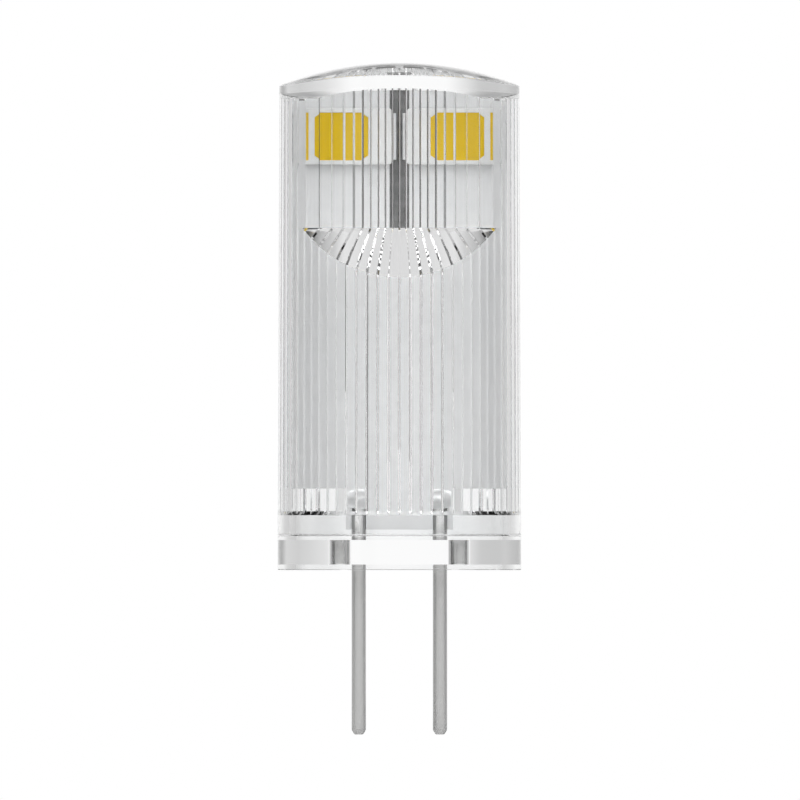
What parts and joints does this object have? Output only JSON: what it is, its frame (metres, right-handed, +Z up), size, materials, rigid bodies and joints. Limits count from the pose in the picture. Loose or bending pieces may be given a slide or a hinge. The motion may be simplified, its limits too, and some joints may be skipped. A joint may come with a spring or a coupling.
{
  "type": "led capsule bulb",
  "caption": "Two-pin capsule lamp: a clear reeded capsule over a white board with yellow light sources, on a clear plug base with straight wire pins.",
  "frame": {"origin": "centre of the base's underside, the face that meets the lamp holder", "axes": "+Z up along the capsule towards its dome, pins down, +X from the left pin to the right one, the board's front face looks along -Y"},
  "size_m": [0.012, 0.012, 0.0331],
  "materials": {
    "clear_cover": "clear moulded plastic, polished",
    "clear_base": "clear moulded plastic, polished",
    "white_board": "white solder mask",
    "bright_wire": "drawn, tin plated",
    "tin_solder": "bright solder",
    "tinned_pad": "tinned, satin",
    "white_housing": "white moulding",
    "yellow_phosphor": "yellow gel fill, satin",
    "black_moulding": "black moulding compound",
    "tinned_lead": "tinned",
    "tan_ceramic": "unglazed",
    "black_ceramic": "glassy film"
  },
  "bodies": {
    "root": {"base": "clear_base", "bridge_rectifier": "black_moulding", "circuit_board": "white_board", "contact_pin_left": "bright_wire", "contact_pin_right": "bright_wire", "cover": "clear_cover", "damping_resistor": "black_ceramic", "driver_chip": "black_moulding", "driver_leads": "tinned_lead", "filter_capacitor": "tan_ceramic", "led_back_left": "white_housing", "led_back_right": "white_housing", "led_front_left": "white_housing", "led_front_right": "white_housing", "led_pads_back": "tinned_pad", "led_pads_front": "tinned_pad", "phosphor_back_left": "yellow_phosphor", "phosphor_back_right": "yellow_phosphor", "phosphor_front_left": "yellow_phosphor", "phosphor_front_right": "yellow_phosphor", "rectifier_leads": "tinned_lead", "sense_resistor": "black_ceramic", "solder_left": "tin_solder", "solder_right": "tin_solder"}
  },
  "joints": []
}
